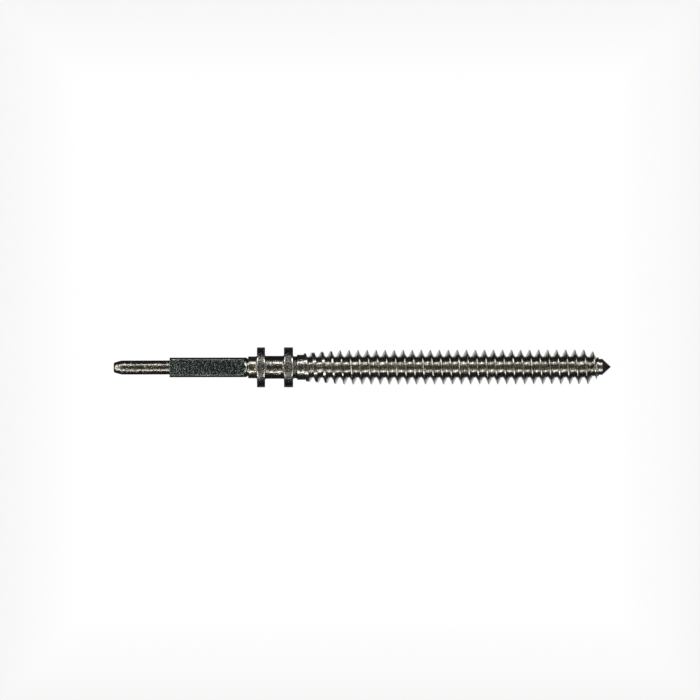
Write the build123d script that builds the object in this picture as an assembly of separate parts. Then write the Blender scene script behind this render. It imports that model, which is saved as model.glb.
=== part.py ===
from build123d import *
import math
import os

# A winding stem, turned in one piece from steel bar. All lengths are in millimetres.
# X runs along the stem, from the pilot at -X to the crown end at +X. The origin is on the axis,
# at the shoulder where the pilot meets the square, and one flat of the square faces +Z.

# Pilot, the thin end that turns in the hole of the main plate
pilot_diameter = 0.35
pilot_length = 1.395
nose_diameter = 0.24
nose_length = 0.185
nose_edge_radius = 0.03

# Square that drives the sliding pinion: four flats milled on a round blank, whose corners stay round
square_length = 1.872
square_across_flats = 0.49
square_corner_diameter = 0.621
square_front_bevel = 0.033
square_back_bevel = 0.04
flats_on_square = 4

# Land that the flats run out on, the relief behind it, and the waist up to the front collar
land_diameter = 0.501
land_end_diameter = 0.496
land_length = 0.043
land_bevel = 0.028
relief_diameter = 0.43
relief_length = 0.014
waist_diameter = 0.546
waist_length = 0.221
waist_edge_radius = 0.015

# Two collars that turn in the main plate, with the groove for the setting lever's pin between them
collar_diameter = 1.0
front_collar_width = 0.2
rear_collar_width = 0.225
collar_edge_radius = 0.02
groove_diameter = 0.57
groove_width = 0.473

# Undercut and neck between the rear collar and the thread, which starts on the end of the neck
undercut_diameter = 0.55
undercut_width = 0.1
neck_diameter = 0.626
neck_length = 0.234
neck_bevel = 0.02
neck_in_thread = 0.067

# Single right-hand thread for the crown, on a blank that tapers where the thread runs in and out
thread_pitch = 0.225
thread_length = 7.31
thread_major_diameter = 0.874
thread_crest_width = 0.018
thread_root_width = 0.046
thread_flank_angle = 50
run_in_diameter = 0.71
run_in_length = 1.02
run_out_diameter = 0.62
run_out_length = 0.18

# Core left past the thread, and the stub with its turned point
core_diameter = 0.47
core_length = 0.04
stub_diameter = 0.4
stub_length = 0.093
point_length = 0.213

# Length by which a cutting tool passes the metal that it cuts
tool_overrun = 0.2

# Places along the axis where each section starts
land_end = square_length + land_length
relief_start = land_end + land_bevel
waist_start = relief_start + relief_length
front_collar_start = waist_start + waist_length
groove_start = front_collar_start + front_collar_width
rear_collar_start = groove_start + groove_width
undercut_start = rear_collar_start + rear_collar_width
neck_start = undercut_start + undercut_width
thread_start = neck_start + neck_length - neck_in_thread
core_start = thread_start + thread_length
stub_start = core_start + core_length
point_start = stub_start + stub_length

# Flanks fall from the crest to the root in what the crest and root leave of the pitch
flank_slope = math.tan(math.radians(thread_flank_angle / 2))
thread_depth = (thread_pitch - thread_crest_width - thread_root_width) / (2 * flank_slope)

full_turn = 360
points_on_flank = 9


def turned(outline):
    """Spin a closed outline of (place, radius) points about the stem's axis."""
    return revolve(make_face(Polyline(*outline, close=True)), Axis.X)


def plain_section(start, length, diameter):
    """A cylinder on the axis, from one place along it for a given length."""
    end = start + length
    return turned([(start, 0), (start, diameter / 2), (end, diameter / 2), (end, 0)])


def pilot():
    """Thin round end with a tapered nose, whose front edge is broken."""
    tip = -pilot_length
    shaft = turned(
        [
            (tip, 0),
            (tip, nose_diameter / 2),
            (tip + nose_length, pilot_diameter / 2),
            (0, pilot_diameter / 2),
            (0, 0),
        ]
    )
    front_edge = shaft.edges().filter_by(GeomType.CIRCLE).sort_by(Axis.X)[0]
    return fillet(front_edge, nose_edge_radius)


def square():
    """Round blank with bevelled ends and the land behind, and four flats milled along all of it."""
    corner_radius = square_corner_diameter / 2
    blank = turned(
        [
            (0, 0),
            (0, corner_radius - square_front_bevel),
            (square_front_bevel, corner_radius),
            (square_length - square_back_bevel, corner_radius),
            (square_length, land_diameter / 2),
            (land_end, land_end_diameter / 2),
            (relief_start, relief_diameter / 2),
            (relief_start, 0),
        ]
    )
    cutter_height = corner_radius - square_across_flats / 2 + tool_overrun
    cutter = Box(
        relief_start + 2 * tool_overrun,
        square_corner_diameter + 2 * tool_overrun,
        cutter_height,
    )
    above_flat = Pos(relief_start / 2, 0, (square_across_flats + cutter_height) / 2) * cutter
    for flat in range(flats_on_square):
        blank -= Rot(X=flat * full_turn / flats_on_square) * above_flat
    return blank


def waist():
    """Round section behind the relief, with its front edge lightly rounded."""
    section = plain_section(waist_start, waist_length, waist_diameter)
    front_edge = section.edges().filter_by(GeomType.CIRCLE).sort_by(Axis.X)[0]
    return fillet(front_edge, waist_edge_radius)


def collar(start, width):
    """Broad disc on the stem, with both edges lightly rounded."""
    disc = plain_section(start, width, collar_diameter)
    return fillet(disc.edges().filter_by(GeomType.CIRCLE), collar_edge_radius)


def neck():
    """Short cylinder with a bevelled front edge, which reaches into the first turn of the thread."""
    neck_end = neck_start + neck_length
    return turned(
        [
            (neck_start, 0),
            (neck_start, neck_diameter / 2 - neck_bevel),
            (neck_start + neck_bevel, neck_diameter / 2),
            (neck_end, neck_diameter / 2),
            (neck_end, 0),
        ]
    )


def thread_slice():
    """Slice square across a sharp-crested thread: two spiral flanks from the crest to a round root."""
    root_radius = thread_major_diameter / 2 - thread_depth
    crest_radius = thread_major_diameter / 2 + thread_crest_width / 2 / flank_slope
    flank_turn = full_turn * (crest_radius - root_radius) * flank_slope / thread_pitch

    def flank(side):
        """Spiral down one flank: as the thread falls, its slice turns about the axis."""
        places = []
        for step in range(points_on_flank):
            share = step / (points_on_flank - 1)
            radius = crest_radius + share * (root_radius - crest_radius)
            turn = math.radians(side * share * flank_turn)
            places.append((radius * math.cos(turn), radius * math.sin(turn)))
        return Spline(*places)

    left, right = flank(1), flank(-1)
    root = ThreePointArc(left @ 1, (-root_radius, 0), right @ 1)
    return make_face([left, root, right]).face()


def thread():
    """Threaded bar, turn by turn. The blank's outline gives the crests, and the inner cuts are left out."""
    one_turn = Plane.YZ * Solid.extrude_linear_with_rotation(
        thread_slice(), (0, 0, 0), (0, 0, thread_pitch), full_turn
    )
    full_blank = plain_section(-tool_overrun, thread_pitch + 2 * tool_overrun, thread_major_diameter)
    full_size_turn = one_turn & full_blank
    run_in_end = thread_start + run_in_length
    run_out_start = core_start - run_out_length
    blank = turned(
        [
            (thread_start, 0),
            (thread_start, run_in_diameter / 2),
            (run_in_end, thread_major_diameter / 2),
            (run_out_start, thread_major_diameter / 2),
            (core_start, run_out_diameter / 2),
            (core_start, 0),
        ]
    )
    faces = []
    turns = math.ceil(thread_length / thread_pitch)
    for turn in range(turns):
        start = thread_start + turn * thread_pitch
        if run_in_end <= start and start + thread_pitch <= run_out_start:
            section = Pos(start, 0, 0) * full_size_turn
        else:
            section = Pos(start, 0, 0) * one_turn & blank
        from_front = section.faces().sort_by(Axis.X)
        first = 0 if turn == 0 else 1
        last = len(from_front) if turn == turns - 1 else -1
        faces += from_front[first:last]
    return Solid(Shell(faces))


def point():
    """Core past the thread, the thinner stub and the cone that it ends in."""
    cone = turned([(point_start, 0), (point_start, stub_diameter / 2), (point_start + point_length, 0)])
    return (
        plain_section(core_start, core_length, core_diameter)
        + plain_section(stub_start, stub_length, stub_diameter)
        + cone
    )


def winding_stem():
    """All sections of the bar from pilot to point, as the one piece of metal that they are."""
    return (
        pilot()
        + square()
        + plain_section(relief_start, relief_length, relief_diameter)
        + waist()
        + collar(front_collar_start, front_collar_width)
        + plain_section(groove_start, groove_width, groove_diameter)
        + collar(rear_collar_start, rear_collar_width)
        + plain_section(undercut_start, undercut_width, undercut_diameter)
        + neck()
        + thread()
        + point()
    )


os.makedirs("parts", exist_ok=True)
stem = winding_stem()
export_step(stem, "parts/winding_stem.step")
print(f"winding_stem: {len(stem.solids())} solid, {stem.volume:.4f} mm3, valid {stem.is_valid}")
print(f"length {stem.bounding_box().size.X:.3f} mm, thread from {thread_start:.3f} to {core_start:.3f} mm")
print(f"front collar from {front_collar_start:.3f} mm, rear collar from {rear_collar_start:.3f} mm")
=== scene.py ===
import math
import bpy
import bmesh
from mathutils import Matrix, Vector


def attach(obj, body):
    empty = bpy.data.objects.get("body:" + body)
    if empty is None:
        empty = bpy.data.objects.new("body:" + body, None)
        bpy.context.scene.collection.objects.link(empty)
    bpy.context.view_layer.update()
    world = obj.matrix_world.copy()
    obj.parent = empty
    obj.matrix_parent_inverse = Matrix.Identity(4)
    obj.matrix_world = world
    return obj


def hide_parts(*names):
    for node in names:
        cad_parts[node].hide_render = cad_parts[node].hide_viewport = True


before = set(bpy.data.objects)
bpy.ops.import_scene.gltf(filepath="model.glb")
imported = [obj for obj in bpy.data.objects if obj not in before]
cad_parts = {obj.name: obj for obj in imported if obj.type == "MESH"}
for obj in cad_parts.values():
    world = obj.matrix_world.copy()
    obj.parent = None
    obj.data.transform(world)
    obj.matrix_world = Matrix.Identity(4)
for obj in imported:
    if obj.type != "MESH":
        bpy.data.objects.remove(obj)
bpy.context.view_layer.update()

metre = 0.001  # the stem is modelled in millimetres and brought to metres once it is whole
barAxis = (1, 0, 0)
weldDistance = 1e-5  # in millimetres, points nearer than this become one
cornerSegments = 4


# Small helpers

def roundedCorners(bm, corners):
    # Each corner is (place along the bar, radius, rounding), and the chain is spun afterwards
    chain = [bm.verts.new((x, 0, radius)) for x, radius, rounding in corners]
    for pair in zip(chain, chain[1:]):
        bm.edges.new(pair)
    for vert, (x, radius, rounding) in zip(chain, corners):
        if rounding:
            bmesh.ops.bevel(bm, geom=[vert], offset=rounding, offset_type="OFFSET", segments=cornerSegments,
                            profile=0.5, affect="VERTICES", clamp_overlap=False, material=-1)


def spinBar(bm, steps):
    bmesh.ops.spin(bm, geom=bm.verts[:] + bm.edges[:], cent=(0, 0, 0), axis=barAxis,
                   angle=math.tau, steps=steps, use_merge=True)
    bmesh.ops.remove_doubles(bm, verts=bm.verts, dist=weldDistance)  # closes the poles on the axis
    bmesh.ops.recalc_face_normals(bm, faces=bm.faces)


def makeObject(name, bm):
    mesh = bpy.data.meshes.new(name)
    bm.to_mesh(mesh)
    bm.free()
    piece = bpy.data.objects.new(name, mesh)
    bpy.context.scene.collection.objects.link(piece)
    return piece


def applyBoolean(piece, other, operation):
    cut = piece.modifiers.new(operation, "BOOLEAN")
    cut.operation = operation
    cut.solver = "MANIFOLD"
    cut.object = other
    depsgraph = bpy.context.evaluated_depsgraph_get()
    result = bpy.data.meshes.new_from_object(piece.evaluated_get(depsgraph))
    piece.modifiers.clear()
    piece.data = result
    bpy.data.objects.remove(other)


# Front of the stem: pilot, square, waist, two collars with their groove, undercut and neck

front = {
    "steps": 152, "flatSteps": 32,
    "pilotDiameter": 0.35, "pilotLength": 1.395,
    "noseDiameter": 0.24, "noseLength": 0.185, "noseRounding": 0.03, "noseBlend": 0.04,
    "squareLength": 1.872, "flats": 4, "acrossFlats": 0.49, "flatEdge": 0.0048, "flatEdgeSegments": 3,
    "frontBevel": 0.033, "backBevel": 0.04,
    "landDiameter": 0.501, "landEndDiameter": 0.496, "landEnd": 1.915, "landRounding": 0.028,
    "reliefDiameter": 0.43, "reliefStart": 1.943, "reliefEnd": 1.957,
    "waistDiameter": 0.546, "waistEnd": 2.178,
    "collarDiameter": 1.0, "frontCollarWidth": 0.2, "rearCollarWidth": 0.225,
    "grooveDiameter": 0.57, "grooveWidth": 0.473, "cornerFillet": 0.034,
    "undercutDiameter": 0.55, "undercutWidth": 0.1, "undercutFillet": 0.022,
    "neckDiameter": 0.626, "neckLength": 0.234,
    "edgeRounding": 0.004, "rollLength": 0.0165, "rollDrop": 0.0066, "rollRounding": 0.0165,
}


def collarPlaces(s):
    # Where the groove, the rear collar, the undercut and the neck start
    groove = s["waistEnd"] + s["frontCollarWidth"]
    rearCollar = groove + s["grooveWidth"]
    undercut = rearCollar + s["rearCollarWidth"]
    return groove, rearCollar, undercut, undercut + s["undercutWidth"]


def tumbledEdge(s, x, radius, side):
    # A worn edge rolls off by a few microns before it drops. Side is 1 where the full radius lies ahead
    # of it, and -1 where it lies behind.
    corners = [(x, radius - s["rollDrop"], s["edgeRounding"]),
               (x + side * s["rollLength"], radius, s["rollRounding"])]
    return corners[::side]


def frontCorners(s):
    pilot, nose = s["pilotDiameter"] / 2, s["noseDiameter"] / 2
    cornerTurn = math.pi * s["flatSteps"] / s["steps"]
    corner = s["acrossFlats"] / 2 / math.cos(cornerTurn)  # puts the flats' edges on rows of the spin
    land, landFoot, relief = s["landDiameter"] / 2, s["landEndDiameter"] / 2, s["reliefDiameter"] / 2
    waist = s["waistDiameter"] / 2
    collar, groove = s["collarDiameter"] / 2, s["grooveDiameter"] / 2
    undercut, neck = s["undercutDiameter"] / 2, s["neckDiameter"] / 2
    tip, squareEnd, frontCollar = -s["pilotLength"], s["squareLength"], s["waistEnd"]
    grooveStart, rearCollar, undercutStart, neckStart = collarPlaces(s)
    neckEnd = neckStart + s["neckLength"]
    fillet = s["cornerFillet"]  # the tool's nose leaves the inner corners round
    return [
        (tip, 0, 0),
        (tip, nose, s["noseRounding"]),
        (tip + s["noseLength"], pilot, s["noseBlend"]),
        (0, pilot, 0),
        (0, corner - s["frontBevel"], 0),
        (s["frontBevel"], corner, 0),
        (squareEnd - s["backBevel"], corner, 0),
        (squareEnd, land, 0),
        (s["landEnd"], landFoot, s["landRounding"]),
        (s["reliefStart"], relief, 0),
        (s["reliefEnd"], relief, 0),
        *tumbledEdge(s, s["reliefEnd"], waist, 1),
        (frontCollar, waist, fillet),
        *tumbledEdge(s, frontCollar, collar, 1),
        *tumbledEdge(s, grooveStart, collar, -1),
        (grooveStart, groove, fillet),
        (rearCollar, groove, fillet),
        *tumbledEdge(s, rearCollar, collar, 1),
        *tumbledEdge(s, undercutStart, collar, -1),
        (undercutStart, undercut, fillet),
        (neckStart, undercut, s["undercutFillet"]),
        *tumbledEdge(s, neckStart, neck, 1),
        (neckEnd, neck, 0),
        (neckEnd, 0, 0),
    ]


def millFlats(bm, s):
    # A flat is cut by a plane through the square's stretch of the bar, and capped with one face
    margin, planeDistance = 1e-4, 1e-6
    flats = []
    for turn in range(s["flats"]):
        outward = Matrix.Rotation(turn * math.tau / s["flats"], 3, "X") @ Vector((0, 0, 1))
        onSquare = [f for f in bm.faces
                    if all(-margin < v.co.x < s["reliefEnd"] - margin for v in f.verts)]
        edges = {e for f in onSquare for e in f.edges}
        verts = {v for f in onSquare for v in f.verts}
        cut = bmesh.ops.bisect_plane(bm, geom=onSquare + list(edges) + list(verts), dist=planeDistance,
                                     plane_co=outward * s["acrossFlats"] / 2, plane_no=outward,
                                     clear_outer=True)
        rim = [e for e in cut["geom_cut"] if isinstance(e, bmesh.types.BMEdge) and e.is_boundary]
        flats += bmesh.ops.contextual_create(bm, geom=rim)["faces"]
    edges = list({e for f in flats for e in f.edges})
    bmesh.ops.bevel(bm, geom=edges, offset=s["flatEdge"], offset_type="OFFSET", profile=0.5,
                    segments=s["flatEdgeSegments"], affect="EDGES", clamp_overlap=False, material=-1)


def makeFront(s):
    bm = bmesh.new()
    roundedCorners(bm, frontCorners(s))
    spinBar(bm, s["steps"])
    millFlats(bm, s)
    bmesh.ops.recalc_face_normals(bm, faces=bm.faces)
    return makeObject("front", bm)


# Threaded shank: one turn's profile, swept along the bar and then turned to the blank's outline

thread = {
    "steps": 96, "spareTurns": 3, "turnWeld": 1e-4, "clearance": 0.02,
    "start": 3.343, "length": 7.31, "pitch": 0.225,
    "majorDiameter": 0.874, "rootDiameter": 0.532,
    "crestWidth": 0.018, "crestPeak": 0.0013, "crestFall": 0.0013, "crestRounding": 0.002,
    "rootWidth": 0.046, "rootFillet": 0.0222,
    "runInDiameter": 0.71, "runInLength": 1.02, "runOutDiameter": 0.62, "runOutLength": 0.18,
}


def threadProfile(bm, s):
    # From root to root. A crest is two narrow faces that meet in a low ridge.
    major, root = s["majorDiameter"] / 2, s["rootDiameter"] / 2
    pitch, middle = s["pitch"], s["pitch"] / 2
    rootHalf, crestHalf = s["rootWidth"] / 2, s["crestWidth"] / 2
    roundedCorners(bm, [
        (0, root, 0),
        (rootHalf, root, s["rootFillet"]),
        (middle - crestHalf, major - s["crestFall"], 0),
        (middle, major + s["crestPeak"], s["crestRounding"]),
        (middle + crestHalf, major - s["crestFall"], 0),
        (pitch - rootHalf, root, s["rootFillet"]),
        (pitch, root, 0),
    ])


def closeEnd(bm, s, end):
    # The open rim is a turn of the root's helix and one profile. A fan to the axis closes it.
    rim = [e for e in bm.edges if e.is_boundary and abs(e.verts[0].co.x - end) < 2 * s["pitch"]]
    fan = bmesh.ops.extrude_edge_only(bm, edges=rim)["geom"]
    tips = [v for v in fan if isinstance(v, bmesh.types.BMVert)]
    bmesh.ops.pointmerge(bm, verts=tips, merge_co=(end + s["pitch"] / 2, 0, 0))


def drawIn(bm, s):
    # The last turn runs out on a smaller bar: each slice of its ridge draws in as a whole, so that the crest
    # stays sharp and level, and the root between two slices goes from one to the next
    runOutStart = s["start"] + s["length"] - s["runOutLength"]
    loss = 1 - s["runOutDiameter"] / s["majorDiameter"]
    halfPitch, halfRoot = s["pitch"] / 2, s["rootWidth"] / 2
    for vert in bm.verts:
        x, y, z = vert.co
        turns = (x - s["start"]) / s["pitch"] - math.atan2(z, y) / math.tau
        fromCrest = (turns - round(turns)) * s["pitch"]
        inRoot = max(abs(fromCrest) - halfPitch + halfRoot, 0) / halfRoot
        place = x - fromCrest + math.copysign(inRoot * halfPitch, fromCrest)
        share = 1 - loss * min(max(place - runOutStart, 0) / s["runOutLength"], 1)
        vert.co.yz = vert.co.yz * share


def sweepThread(s):
    # One turn is swept and then copied along the bar, with half of the spare turns at each end, so that the
    # blank's ends cut through whole turns. A crest lies on +Y where the thread starts.
    bm = bmesh.new()
    threadProfile(bm, s)
    bmesh.ops.spin(bm, geom=bm.verts[:] + bm.edges[:], cent=(0, 0, 0), axis=barAxis,
                   dvec=(s["pitch"] / s["steps"], 0, 0), angle=math.tau, steps=s["steps"])
    firstTurn = bm.verts[:] + bm.edges[:] + bm.faces[:]
    turns = math.ceil(s["length"] / s["pitch"]) + s["spareTurns"]
    for number in range(1, turns):
        copied = bmesh.ops.duplicate(bm, geom=firstTurn)["geom"]
        verts = [v for v in copied if isinstance(v, bmesh.types.BMVert)]
        bmesh.ops.translate(bm, vec=(number * s["pitch"], 0, 0), verts=verts)
    bmesh.ops.remove_doubles(bm, verts=bm.verts, dist=s["turnWeld"])
    closeEnd(bm, s, 0)
    closeEnd(bm, s, turns * s["pitch"])
    bmesh.ops.recalc_face_normals(bm, faces=bm.faces)
    quarterTurn = Matrix.Rotation(math.radians(-90), 3, "X")  # from +Z, where the profile stands, to +Y
    bmesh.ops.rotate(bm, cent=(0, 0, 0), matrix=quarterTurn, verts=bm.verts)
    bmesh.ops.translate(bm, vec=(s["start"] - s["spareTurns"] / 2 * s["pitch"], 0, 0), verts=bm.verts)
    drawIn(bm, s)
    return makeObject("thread", bm)


def makeBlank(s):
    # The bar before the thread is cut: a taper where the thread runs in, and clear of the crests behind it
    end = s["start"] + s["length"]
    full = s["majorDiameter"] / 2 + s["clearance"]
    slope = (s["majorDiameter"] - s["runInDiameter"]) / 2 / s["runInLength"]
    bm = bmesh.new()
    roundedCorners(bm, [
        (s["start"], 0, 0),
        (s["start"], s["runInDiameter"] / 2, 0),
        (s["start"] + s["runInLength"] + s["clearance"] / slope, full, 0),
        (end, full, 0),
        (end, 0, 0),
    ])
    spinBar(bm, s["steps"])
    return makeObject("blank", bm)


# Core past the thread, the stub and its cone

tip = {
    "steps": 96,
    "start": 10.653, "inThread": 0.14,
    "coreDiameter": 0.47, "coreLength": 0.04,
    "stubDiameter": 0.4, "stubLength": 0.093,
    "coneLength": 0.213,
}


def makeTip(s):
    core, stub = s["coreDiameter"] / 2, s["stubDiameter"] / 2
    coreEnd = s["start"] + s["coreLength"]
    stubEnd = coreEnd + s["stubLength"]
    bm = bmesh.new()
    roundedCorners(bm, [
        (s["start"] - s["inThread"], 0, 0),
        (s["start"] - s["inThread"], core, 0),
        (coreEnd, core, 0),
        (coreEnd, stub, 0),
        (stubEnd, stub, 0),
        (stubEnd + s["coneLength"], 0, 0),
    ])
    spinBar(bm, s["steps"])
    return makeObject("tip", bm)


def makeStem():
    shank = sweepThread(thread)
    print("thread swept:", len(shank.data.polygons), "faces")
    applyBoolean(shank, makeBlank(thread), "INTERSECT")
    print("thread turned to the blank:", len(shank.data.polygons), "faces")
    stem = makeFront(front)
    print("front made:", len(stem.data.polygons), "faces")
    applyBoolean(stem, shank, "UNION")
    applyBoolean(stem, makeTip(tip), "UNION")
    stem.name = "turnedStem"
    bm = bmesh.new()
    bm.from_mesh(stem.data)
    bmesh.ops.remove_doubles(bm, verts=bm.verts, dist=weldDistance)
    bmesh.ops.recalc_face_normals(bm, faces=bm.faces)
    bmesh.ops.scale(bm, vec=(metre, metre, metre), verts=bm.verts)
    openEdges = sum(1 for e in bm.edges if not e.is_manifold)
    bm.to_mesh(stem.data)
    bm.free()
    sharpFrom = 35  # degrees between two faces
    stem.data.shade_smooth()
    stem.data.set_sharp_from_angle(angle=math.radians(sharpFrom))
    even = stem.modifiers.new("evenShading", "WEIGHTED_NORMAL")  # keeps flanks and flats flat to their edges
    even.keep_sharp = True
    print("stem whole:", len(stem.data.polygons), "faces,", openEdges, "edges that aren't closed")
    return stem


stem = makeStem()


# Materials, with sizes in millimetres. Real tool marks and grain are a few microns apart, too fine to show,
# so they are drawn at about 0.03 mm. The rim is painted shade along the outlines: it tints what a face seen
# almost edge-on reflects. It is black on most sections, which paints their outlines dark, and grey on the
# ground ones for a lighter painted shade. It is white on the thread, which leaves its edge-on reflection
# plain.

toneSpread = (0.35, 0.65)  # shares of the stains' noise where the two tones are reached
glossSpread = (0.3, 0.7)  # and the two roughnesses

finishes = {
    # Bright turned steel: two broken lines of light, with a mottled warm grey between them
    "turnedSteel": {
        "tones": ("#d9d6cd", "#b7b5af"), "rim": "#000000", "roughness": (0.08, 0.18), "stainSize": 0.12,
        "markSize": (0.03, 0.3, 0.3), "markHeight": 0.004, "lumpSize": 0.06, "lumpHeight": 0.0065,
        "pitSize": 0.055, "pitEdge": (0.52, 0.64), "pitDepth": 0.002,
    },
    # Pilot and groove, rubbed by the parts that run on them: the same, but duller
    "rubbedSteel": {
        "tones": ("#bdbab2", "#95938d"), "rim": "#000000", "roughness": (0.08, 0.18), "stainSize": 0.1,
        "markSize": (0.03, 0.3, 0.3), "markHeight": 0.004, "lumpSize": 0.06, "lumpHeight": 0.006,
        "pitSize": 0.05, "pitEdge": (0.52, 0.64), "pitDepth": 0.0024,
    },
    # Milled and hardened flats: dark greenish grey, with fine arcs and light specks
    "milledSteel": {
        "tones": ("#8f9e9d", "#6a7777"), "rim": "#000000", "roughness": (0.1, 0.2), "stainSize": 0.08,
        "cutterCentre": -1.5, "arcSpacing": 0.05, "markHeight": 0.004,
        "lumpSize": 0.034, "lumpHeight": 0.0078,
        "pitSize": 0.034, "pitEdge": (0.57, 0.67), "pitDepth": 0.0016,
    },
    # Ground rims of the collars and the undercut: a broad dull sheen, mottled cool and warm
    "groundSteel": {
        "tones": ("#8b9195", "#6a655d"), "rim": "#a8a8a8", "roughness": (0.2, 0.32), "stainSize": 0.06,
        "markSize": (0.02, 0.2, 0.2), "markHeight": 0.004, "lumpSize": 0.05, "lumpHeight": 0.017,
        "pitSize": 0.045, "pitEdge": (0.55, 0.65), "pitDepth": 0.003,
    },
    # Thread cut with a die: clear pale light on the crests and roots, dark in between
    "cutSteel": {
        "tones": ("#dddbd6", "#bdbbb6"), "rim": "#ffffff", "roughness": (0.05, 0.11), "stainSize": 0.15,
        "markSize": (0.03, 0.25, 0.25), "markHeight": 0.004, "lumpSize": 0.07, "lumpHeight": 0.007,
        "pitSize": 0.05, "pitEdge": (0.52, 0.64), "pitDepth": 0.001,
    },
    # Stub turned with a coarse feed: two short, broad patches of light
    "coarseSteel": {
        "tones": ("#e6e3da", "#c9c6be"), "rim": "#000000", "roughness": (0.1, 0.2), "stainSize": 0.1,
        "markSize": (0.014, 0.15, 0.15), "markHeight": 0.005, "lumpSize": 0.06, "lumpHeight": 0.007,
        "pitSize": 0.04, "pitEdge": (0.52, 0.64), "pitDepth": 0.0006,
    },
}


def linear(hexColour):
    # sRGB hex to the linear colour that a shader socket takes
    shares = [int(hexColour[i:i + 2], 16) / 255 for i in (1, 3, 5)]
    return [c / 12.92 if c <= 0.04045 else ((c + 0.055) / 1.055) ** 2.4 for c in shares] + [1.0]


def addNode(tree, kind, settings=None, links=None):
    node = tree.nodes.new(kind)
    for name, value in (settings or {}).items():
        if isinstance(name, int) or name in node.inputs:
            node.inputs[name].default_value = value
        else:
            setattr(node, name, value)
    for name, source in (links or {}).items():
        tree.links.new(source, node.inputs[name])
    return node


def toolMarks(tree, place, s):
    # Arcs round the cutter's centre on the flats, and elsewhere a grain that is long round the bar
    if "cutterCentre" in s:
        fromCentre = addNode(tree, "ShaderNodeVectorMath",
                             {"operation": "DISTANCE", 1: (s["cutterCentre"] * metre, 0, 0)}, {0: place})
        across = addNode(tree, "ShaderNodeMath", {"operation": "DIVIDE", 1: s["arcSpacing"] * metre},
                         {0: fromCentre.outputs["Value"]})
        return addNode(tree, "ShaderNodeTexNoise",
                       {"noise_dimensions": "1D", "Scale": 1.0, "Detail": 2.0}, {"W": across.outputs[0]})
    stretched = addNode(tree, "ShaderNodeVectorMath",
                        {"operation": "DIVIDE", 1: [size * metre for size in s["markSize"]]}, {0: place})
    return addNode(tree, "ShaderNodeTexNoise", {"Scale": 1.0, "Detail": 2.0},
                   {"Vector": stretched.outputs["Vector"]})


def steelFinish(name, s):
    # Marks, lumps and pits tilt the surface a little, which breaks the highlights up. Stains vary the tone
    # and the gloss.
    material = bpy.data.materials.new(name)
    material.use_nodes = True
    tree = material.node_tree
    shader = tree.nodes["Principled BSDF"]
    place = addNode(tree, "ShaderNodeTexCoord").outputs["Object"]
    marks = toolMarks(tree, place, s)
    lumps = addNode(tree, "ShaderNodeTexNoise", {"Scale": 1 / (s["lumpSize"] * metre), "Detail": 3.0},
                    {"Vector": place})
    stains = addNode(tree, "ShaderNodeTexNoise", {"Scale": 1 / (s["stainSize"] * metre), "Detail": 4.0},
                     {"Vector": place})
    specks = addNode(tree, "ShaderNodeTexNoise", {"Scale": 1 / (s["pitSize"] * metre), "Detail": 1.0},
                     {"Vector": place})
    pits = addNode(tree, "ShaderNodeMapRange", {"From Min": s["pitEdge"][0], "From Max": s["pitEdge"][1]},
                   {"Value": specks.outputs["Fac"]})
    marked = addNode(tree, "ShaderNodeBump", {"Distance": s["markHeight"] * metre},
                     {"Height": marks.outputs["Fac"]})
    uneven = addNode(tree, "ShaderNodeBump", {"Distance": s["lumpHeight"] * metre},
                     {"Height": lumps.outputs["Fac"], "Normal": marked.outputs["Normal"]})
    pitted = addNode(tree, "ShaderNodeBump", {"Distance": s["pitDepth"] * metre},
                     {"Height": pits.outputs["Result"], "Normal": uneven.outputs["Normal"]})
    tone = addNode(tree, "ShaderNodeValToRGB", links={"Fac": stains.outputs["Fac"]})
    for stop, share, hexColour in zip(tone.color_ramp.elements, toneSpread, s["tones"]):
        stop.position = share
        stop.color = linear(hexColour)
    gloss = addNode(tree, "ShaderNodeMapRange",
                    {"From Min": glossSpread[0], "From Max": glossSpread[1],
                     "To Min": s["roughness"][0], "To Max": s["roughness"][1]},
                    {"Value": stains.outputs["Fac"]})
    shader.inputs["Metallic"].default_value = 1.0
    # Painted shade: the rim tint, black or grey on most finishes, darkens what the steel reflects when seen
    # almost edge-on
    shader.inputs["Specular Tint"].default_value = linear(s["rim"])
    tree.links.new(tone.outputs["Color"], shader.inputs["Base Color"])
    tree.links.new(gloss.outputs["Result"], shader.inputs["Roughness"])
    tree.links.new(pitted.outputs["Normal"], shader.inputs["Normal"])
    return material


def finishOf(centre, normal):
    # The finish goes by the place along the bar, and by which way the face looks
    x, radius = centre.x / metre, centre.yz.length / metre
    groove, rearCollar, undercut, neck = collarPlaces(front)
    isFlat = max(abs(normal.y), abs(normal.z)) > 0.9999
    isRim = radius > front["neckDiameter"] / 2 and abs(normal.x) < 0.03
    isEndFace = abs(normal.x) >= 0.9
    if thread["start"] < x < thread["start"] + thread["length"]:
        return "cutSteel"
    if 0 < x < front["squareLength"] and isFlat:
        return "milledSteel"
    if front["waistEnd"] < x < undercut and isRim:
        return "groundSteel"
    if x < 0 or groove < x < rearCollar:
        return "rubbedSteel"
    if undercut < x < neck and not isEndFace:
        return "groundSteel"
    if x > tip["start"] + tip["coreLength"]:
        return "coarseSteel"
    return "turnedSteel"


def giveFinishes(piece):
    piece.data.materials.clear()
    names = list(finishes)
    for name in names:
        piece.data.materials.append(steelFinish(name, finishes[name]))
    for face in piece.data.polygons:
        face.material_index = names.index(finishOf(face.center, face.normal))


giveFinishes(stem)
print("finishes given:", len(stem.data.materials))

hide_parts("winding_stem")
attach(stem, "root")


# Floor and camera, with lengths in metres

studio = {
    "floorSize": 0.6, "floorTone": "#303030", "floorRoughness": 0.9, "floorGlow": "#ffffff",
    "evenTo": 0.0058, "edgeGlow": 0.9,
    "frameWidth": 0.01745, "lens": 600, "sensor": 36, "clip": (0.01, 10),
    "middle": (0.004496, 0.000429), "lean": -0.08,
}


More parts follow.
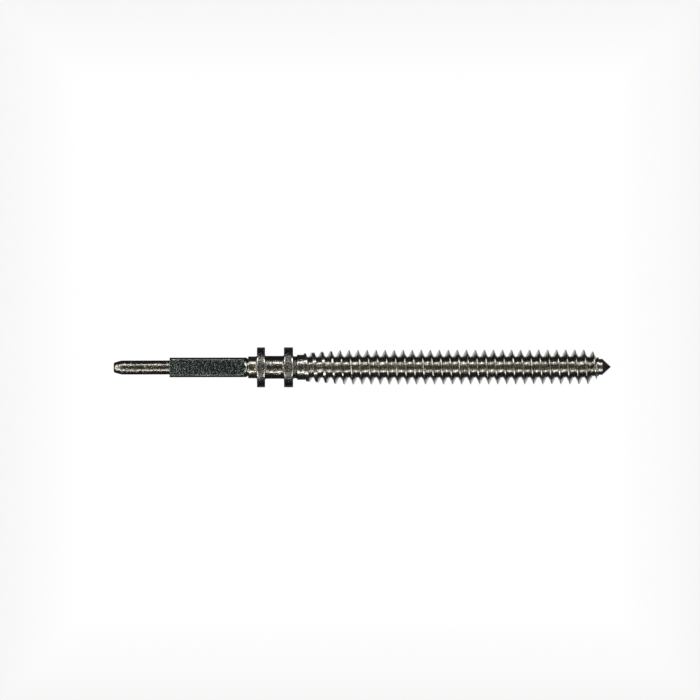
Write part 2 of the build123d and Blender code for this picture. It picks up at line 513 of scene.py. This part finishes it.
def makeFloor(s):
    # A light table, a little darker towards the sides of the picture. The stem doesn't mirror it, and
    # mirrors the room's light from underneath in its place.
    bm = bmesh.new()
    bmesh.ops.create_grid(bm, x_segments=1, y_segments=1, size=s["floorSize"] / 2)
    floor = makeObject("floor", bm)
    floor.location = (*s["middle"], -front["collarDiameter"] / 2 * metre)
    material = bpy.data.materials.new("whiteLightTable")
    material.use_nodes = True
    tree = material.node_tree
    shader = tree.nodes["Principled BSDF"]
    place = addNode(tree, "ShaderNodeTexCoord")
    away = addNode(tree, "ShaderNodeVectorMath", {"operation": "ABSOLUTE"}, {0: place.outputs["Object"]})
    sides = addNode(tree, "ShaderNodeSeparateXYZ", links={"Vector": away.outputs["Vector"]})
    farthest = addNode(tree, "ShaderNodeMath", {"operation": "MAXIMUM"},
                       {0: sides.outputs["X"], 1: sides.outputs["Y"]})
    fall = addNode(tree, "ShaderNodeMapRange",
                   {"From Min": s["evenTo"], "From Max": s["frameWidth"] / 2,
                    "To Min": 1.0, "To Max": s["edgeGlow"]},
                   {"Value": farthest.outputs[0]})
    shader.inputs["Base Color"].default_value = linear(s["floorTone"])
    shader.inputs["Roughness"].default_value = s["floorRoughness"]
    shader.inputs["Emission Color"].default_value = linear(s["floorGlow"])
    tree.links.new(fall.outputs["Result"], shader.inputs["Emission Strength"])
    floor.data.materials.append(material)
    floor.visible_glossy = False


def makeCamera(s):
    data = bpy.data.cameras.new("camera")
    data.lens = s["lens"]
    data.sensor_width = s["sensor"]
    data.clip_start, data.clip_end = s["clip"]
    camera = bpy.data.objects.new("camera", data)
    camera.location = (*s["middle"], s["frameWidth"] * s["lens"] / s["sensor"])
    camera.rotation_euler = (0, 0, math.radians(s["lean"]))
    bpy.context.scene.collection.objects.link(camera)
    bpy.context.scene.camera = camera


# Light, by degrees from straight up: the dark lens, the ring light round it at about 48 degrees, the dark
# room, and from about 140 degrees on the light table underneath

roomLight = {
    "strength": 4.0, "backdrop": "#fbfbfb",
    "lens": [(0, "#181817"), (10, "#1e1e1c"), (20, "#292826"), (30, "#383735"), (38, "#4e4d4a")],
    "ring": [(43, "#7c7b77"), (46, "#f3f1ea"), (51, "#f3f1ea"), (54, "#6c6b68"), (58, "#3f3f3e")],
    "room": [(64, "#262626"), (75, "#18191a"), (90, "#111315"), (125, "#101112"), (138, "#1a1a1a")],
    "table": [(141, "#3a3a3a"), (144, "#575757"), (148, "#6a6a6a"), (152, "#707070"), (165, "#787878"),
              (180, "#898989")],
}


def makeWorld(s):
    world = bpy.data.worlds.new("ringLight")
    world.use_nodes = True
    tree = world.node_tree
    tree.nodes.clear()
    direction = addNode(tree, "ShaderNodeTexCoord")
    parts = addNode(tree, "ShaderNodeSeparateXYZ", links={"Vector": direction.outputs["Generated"]})
    height = addNode(tree, "ShaderNodeMapRange", {"From Min": -1.0, "From Max": 1.0},
                     {"Value": parts.outputs["Z"]})
    ramp = addNode(tree, "ShaderNodeValToRGB", links={"Fac": height.outputs["Result"]})
    lights = s["lens"] + s["ring"] + s["room"] + s["table"]
    stops = ramp.color_ramp.elements
    while len(stops) > 1:
        stops.remove(stops[-1])
    for number, (degree, hexColour) in enumerate(reversed(lights)):
        place = (math.cos(math.radians(degree)) + 1) / 2
        stop = stops[0] if number == 0 else stops.new(place)
        stop.position = place
        stop.color = linear(hexColour)
    room = addNode(tree, "ShaderNodeBackground", {"Strength": s["strength"]},
                   {"Color": ramp.outputs["Color"]})
    pale = addNode(tree, "ShaderNodeBackground", {"Color": linear(s["backdrop"]), "Strength": 1.0})
    rays = addNode(tree, "ShaderNodeLightPath")
    mix = addNode(tree, "ShaderNodeMixShader", links={0: rays.outputs["Is Camera Ray"]})
    tree.links.new(room.outputs["Background"], mix.inputs[1])
    tree.links.new(pale.outputs["Background"], mix.inputs[2])
    addNode(tree, "ShaderNodeOutputWorld", links={"Surface": mix.outputs["Shader"]})
    bpy.context.scene.world = world


makeFloor(studio)
makeCamera(studio)
makeWorld(roomLight)
bpy.context.scene.view_settings.view_transform = "Standard"
print("floor, camera and light set")
